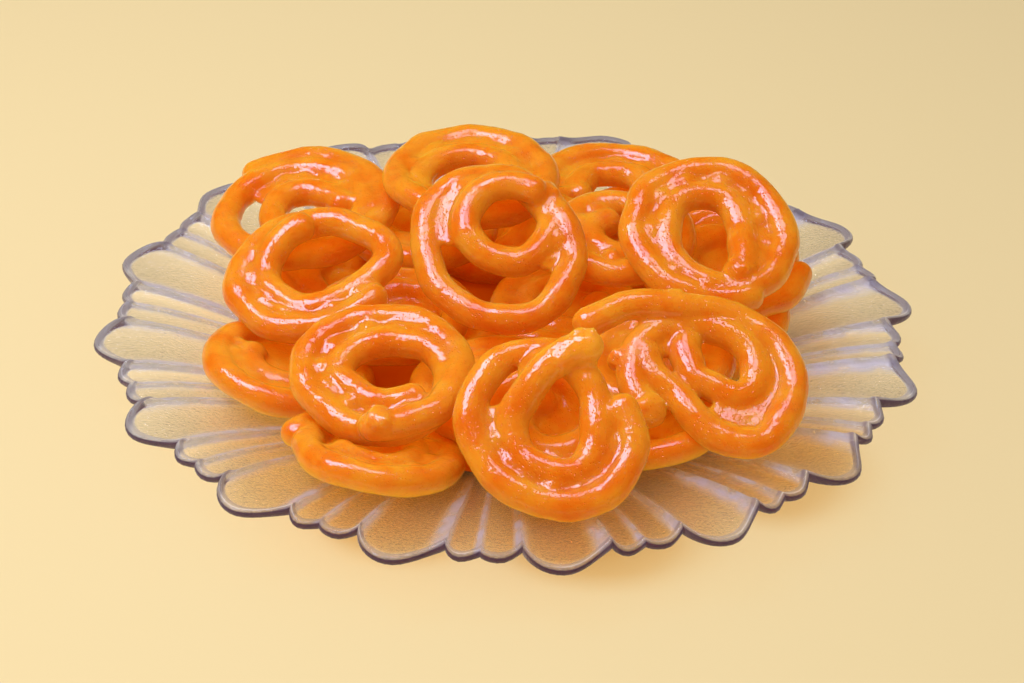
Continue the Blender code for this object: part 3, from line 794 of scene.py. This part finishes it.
# Syrup that has drained onto the plate: a lens with a ragged outline, deepest in the middle.
def makeSyrupPool(material):
    s = syrupPool
    angle = np.arange(s["columns"]) * 2 * np.pi / s["columns"]
    circle = np.stack([np.cos(angle), np.sin(angle)], axis=1)
    outline = s["reach"] + s["ragged"] * waves(circle * 40, s["raggedLength"], 77)
    share = np.linspace(0.02, 1, s["rings"])

    def ring(part, depth):
        x, y = outline * part * np.cos(angle), outline * part * np.sin(angle)
        return np.stack([x, y, plateTop(x, y) + depth], axis=1)

    under = [ring(part, s["under"]) for part in share]
    over = [ring(part, s["edge"] + s["film"] * smoothStep((1 - part) * s["filmSteep"])
                 + s["depth"] * smoothStep((1 - part) * s["depthSteep"])) for part in share[::-1]]
    mesh = gridToMesh("syrup_pool", [np.array(under + over)])
    mesh.shade_smooth()
    piece = linked("syrup_pool", mesh, material)
    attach(piece, "root")


# metres
table = dict(half=4.0, below=0.0003, surface={"Base Color": (0.80, 0.65, 0.365, 1), "Roughness": 0.7,
                                              "Specular IOR Level": 0.2})


# Square table top, a hair below the plate's foot.
def makeFloor():
    material, _, shader, _ = newMaterial("paleTable")
    setInputs(shader, table["surface"])
    half = table["half"]
    corners = [(-half, -half, 0), (half, -half, 0), (half, half, 0), (-half, half, 0)]
    mesh = bpy.data.meshes.new("tableTop")
    mesh.from_pydata(corners, [], [(0, 1, 2, 3)])
    floor = linked("tableTop", mesh, material)
    floor.location.z = -table["below"]


# Turn that points a lamp's -Z at the target.
def aimedAt(place, target):
    return (Vector(target) - Vector(place)).to_track_quat("-Z", "Y").to_euler()


# lamps that light the matt colours, and lamps that only shine back from the syrup and the glass
lights = {
    "keyLight": dict(place=(-0.48, 0.02, 1.12), size=0.50, power=8.2, shines=False,
                     colour=(1.0, 0.97, 0.94)),
    "fillLight": dict(place=(-0.20, -0.55, 1.10), size=0.90, power=3.6, shines=False,
                      colour=(1.0, 0.97, 0.90)),
    "keyShine": dict(place=(-0.42, 0.02, 0.98), size=0.52, power=10.2, shines=True,
                     colour=(0.56, 0.66, 1.0)),
    "topShine": dict(place=(0.08, 0.16, 1.15), size=0.40, power=3.2, shines=True,
                     colour=(0.56, 0.64, 1.0)),
}
studio = dict(
    aim=(0, 0, 0.03), world={"Color": (1.0, 0.96, 0.92, 1), "Strength": 0.49},
    bounces=dict(max=7, diffuse=2, glossy=2, transmission=6, transparent_max=7),
)


# Square lamps aimed at the heap, under an even pale sky.
def makeLights():
    for name, spec in lights.items():
        lamp = bpy.data.lights.new(name, "AREA")
        lamp.size = spec["size"]
        lamp.energy = spec["power"]
        lamp.color = spec["colour"]
        item = bpy.data.objects.new(name, lamp)
        item.location = spec["place"]
        item.rotation_euler = aimedAt(spec["place"], studio["aim"])
        item.visible_glossy = spec["shines"]
        item.visible_diffuse = not spec["shines"]
        bpy.context.scene.collection.objects.link(item)
    world = bpy.data.worlds.new("studio")
    bpy.context.scene.world = world
    world.use_nodes = True
    setInputs(world.node_tree.nodes["Background"], studio["world"])
    world.cycles_visibility.glossy = False      # only the lamps shine back from the syrup
    for kind, most in studio["bounces"].items():
        setattr(bpy.context.scene.cycles, kind + "_bounces", most)


camera = dict(lens=104.0, sensor=36.0, place=(0.00136, -0.91172, 0.59600), pitch=32.531, roll=1.493)


# Camera that looks along +Y, tipped down by its pitch and then turned about its own line of sight.
def makeCamera():
    lens = bpy.data.cameras.new("camera")
    lens.lens = camera["lens"]
    lens.sensor_width = camera["sensor"]
    item = bpy.data.objects.new("camera", lens)
    pitch, roll = radians(camera["pitch"]), radians(camera["roll"])
    level = Vector((1, 0, 0))
    upright = Vector((0, sin(pitch), cos(pitch)))
    ahead = Vector((0, cos(pitch), -sin(pitch)))
    right = level * cos(roll) + upright * sin(roll)
    up = upright * cos(roll) - level * sin(roll)
    turn = Matrix((right, up, -ahead)).transposed()
    item.matrix_world = Matrix.Translation(camera["place"]) @ turn.to_4x4()
    bpy.context.scene.collection.objects.link(item)
    bpy.context.scene.camera = item


makeCamera()
makeLights()
makeFloor()
bpy.context.scene.view_settings.view_transform = "Standard"
print("camera, lights and table made")

laid = []
jalebiMaterial = makeJalebiMaterial()
for number, entry in enumerate(heap):
    piece = makeJalebi(entry, number, laid, jalebiMaterial)
    print(entry[0], len(piece.data.polygons), "faces")

footprint = np.concatenate(laid)[::2]
makePlate(makeGlassMaterial(), footprint)
makeSyrupPool(makeSyrupMaterial())
print("plate and syrup made")
